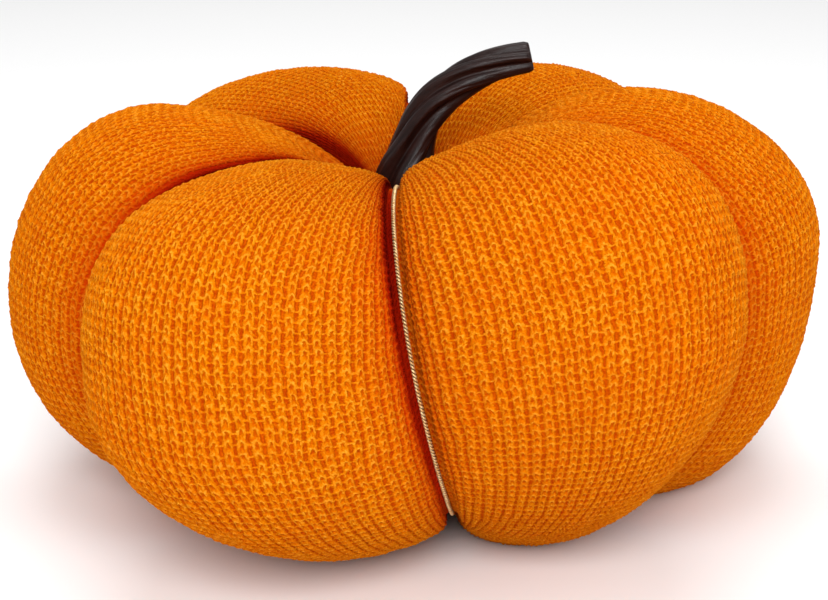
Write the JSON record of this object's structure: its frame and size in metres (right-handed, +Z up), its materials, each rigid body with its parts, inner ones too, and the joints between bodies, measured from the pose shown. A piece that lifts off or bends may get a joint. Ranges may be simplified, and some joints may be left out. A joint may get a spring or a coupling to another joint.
{
  "type": "stuffed knit pumpkin",
  "caption": "Stuffed pumpkin ornament of chunky ribbed knit, drawn in by cords along its creases, with a curved twisted stem; rests flat on its lobes",
  "frame": {"origin": "middle of the object's box, at the level of what it rests on", "axes": "+Z up; -Y faces the viewer, with the front crease; +X is to the right, where the stem leans"},
  "size_m": [0.2506, 0.2326, 0.1421],
  "materials": {
    "knit_orange": "matte chunky rib knit in orange yarn",
    "stem_dark": "glossy dark brown moulded stem with twisted ribs",
    "cord_gold": "shiny gold metallic thread, twisted"
  },
  "bodies": {
    "root": {"knit_body": "knit_orange", "stem": "stem_dark", "cord_1": "cord_gold", "cord_2": "cord_gold", "cord_3": "cord_gold", "cord_4": "cord_gold", "cord_5": "cord_gold", "cord_6": "cord_gold"}
  },
  "joints": []
}
